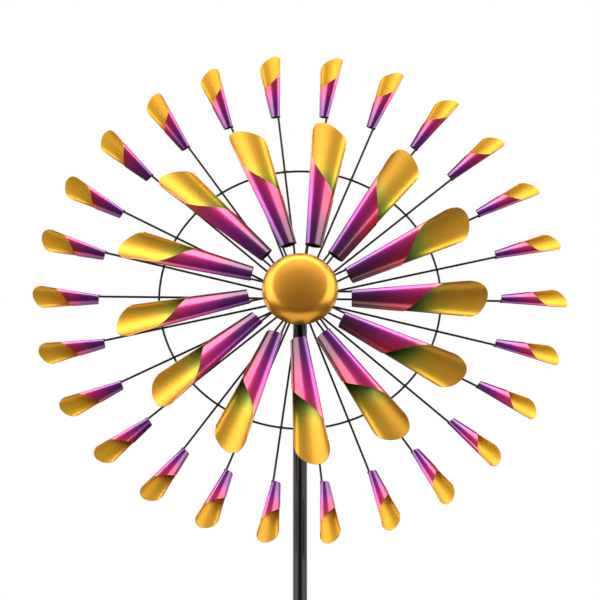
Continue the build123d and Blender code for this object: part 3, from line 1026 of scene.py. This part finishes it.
def make_floor():
    """A plain pale round floor at the tip of the spike."""
    radius, sides = 1.7, 96
    ring = [
        (radius * math.cos(2 * math.pi * i / sides), radius * math.sin(2 * math.pi * i / sides), GROUND)
        for i in range(sides)
    ]
    mesh = bpy.data.meshes.new("floor")
    mesh.from_pydata(ring, [], [list(range(sides))])
    floor = bpy.data.objects.new("floor", mesh)
    bpy.context.scene.collection.objects.link(floor)
    nodes = Nodes("floor_paper")
    tint = nodes.mix(nodes.noise(3, 2), (0.80, 0.80, 0.79), (0.84, 0.84, 0.83))
    nodes.link(tint, nodes.shader.inputs["Base Color"])
    nodes.set(Roughness=0.9)
    mesh.materials.append(nodes.material)


def make_world():
    """Even white surroundings to the eye, but a dim warm room in reflections."""
    world = bpy.data.worlds.new("studio")
    bpy.context.scene.world = world
    world.use_nodes = True
    tree = world.node_tree
    back = tree.nodes["Background"]
    path = tree.nodes.new("ShaderNodeLightPath")
    place = tree.nodes.new("ShaderNodeTexCoord")
    split = tree.nodes.new("ShaderNodeSeparateXYZ")
    ramp = tree.nodes.new("ShaderNodeValToRGB")
    height = tree.nodes.new("ShaderNodeMapRange")
    height.inputs["From Min"].default_value = -1
    ramp.color_ramp.elements[0].color = (0.07, 0.05, 0.045, 1)
    ramp.color_ramp.elements[1].color = (0.16, 0.14, 0.13, 1)
    middle = ramp.color_ramp.elements.new(0.5)
    middle.color = (0.05, 0.04, 0.04, 1)
    mix = tree.nodes.new("ShaderNodeMix")
    mix.data_type = "RGBA"
    mix.inputs[7].default_value = (1, 1, 1, 1)
    tree.links.new(place.outputs["Generated"], split.inputs[0])
    tree.links.new(split.outputs["Z"], height.inputs["Value"])
    tree.links.new(height.outputs["Result"], ramp.inputs["Fac"])
    tree.links.new(path.outputs["Is Camera Ray"], mix.inputs[0])
    tree.links.new(ramp.outputs["Color"], mix.inputs[6])
    tree.links.new(mix.outputs[2], back.inputs["Color"])


def softbox(name, azimuth, rise, distance, size, power):
    """A rectangular soft light that points at the hub, placed round it by direction in degrees.

    Azimuth 0 is straight ahead of the wheels, and rise is counted up from the hub's level.
    """
    turn, lift = math.radians(azimuth), math.radians(rise)
    out = Vector((
        math.sin(turn) * math.cos(lift), -math.cos(turn) * math.cos(lift), math.sin(lift)))
    light = bpy.data.lights.new(name, "AREA")
    light.shape = "RECTANGLE"
    light.size, light.size_y = size
    light.energy = power
    lamp = bpy.data.objects.new(name, light)
    lamp.location = Vector((0, 0, HUB_HEIGHT)) + out * distance
    lamp.rotation_euler = (-out).to_track_quat("-Z", "Y").to_euler()
    lamp.visible_camera = False
    bpy.context.scene.collection.objects.link(lamp)


def make_lights():
    """Large softboxes left and right of the viewer, one overhead, and two behind for the rims.

    The viewer is below the hub's level and the wheels mirror what stands about as far above it,
    so the left and right boxes are raised.
    """
    softbox("left_softbox", -63, 20, 2.8, (3.3, 3.2), 84)
    softbox("right_softbox", 64, 20, 2.8, (3.3, 3.2), 76)
    softbox("top_softbox", 0, 66, 2.8, (3.0, 1.9), 62)
    softbox("left_kicker", -128, 12, 2.8, (1.6, 2.6), 22)
    softbox("right_kicker", 128, 12, 2.8, (1.6, 2.6), 16)


def make_camera():
    """Far off, straight on and looking up from below."""
    rise = math.radians(VIEW_RISE)
    back = Vector((0, -math.cos(rise), -math.sin(rise)))
    camera_data = bpy.data.cameras.new("camera")
    camera = bpy.data.objects.new("camera", camera_data)
    camera.location = VIEW_CENTRE + back * VIEW_DISTANCE
    camera.rotation_euler = (-back).to_track_quat("-Z", "Y").to_euler()
    camera_data.sensor_width = 36
    camera_data.lens = 36 * VIEW_DISTANCE / VIEW_WIDTH
    camera_data.clip_start = 1
    camera_data.clip_end = 100
    bpy.context.scene.collection.objects.link(camera)
    bpy.context.scene.camera = camera


bpy.context.scene.view_settings.view_transform = "Standard"
make_camera()
make_world()
make_lights()
make_floor()
materials = make_materials()
dress_cad_nodes(materials)
make_scoops(SMALL, materials["small_scoop_paint"])
make_scoops(LARGE, materials["large_scoop_paint"])
make_spokes(SMALL, REAR_SPOKE_START, materials["wire_paint"])
make_spokes(LARGE, FRONT_SPOKE_START, materials["wire_paint"])
make_ring(materials["wire_paint"])
make_welds(materials["wire_paint"])
make_dome(materials["dome_gold"])
make_backplate(materials["plate_steel"])
for wheel_label in ("rear", "front"):
    make_hub(wheel_label, materials["hub_paint"])
    make_bushes(wheel_label, materials["bush_plastic"])
make_axle(materials["axle_steel"])
make_nuts(materials["fastener_steel"])
make_spacers(materials["fastener_steel"])
make_pole(materials["pole_paint"])
make_cap(materials["cap_plastic"])
make_screws(materials["fastener_steel"])
make_spike(materials["fork_steel"])
make_prongs(materials["fork_steel"])
make_step_bar(materials["fork_steel"])
make_fork_welds(materials["fork_steel"])
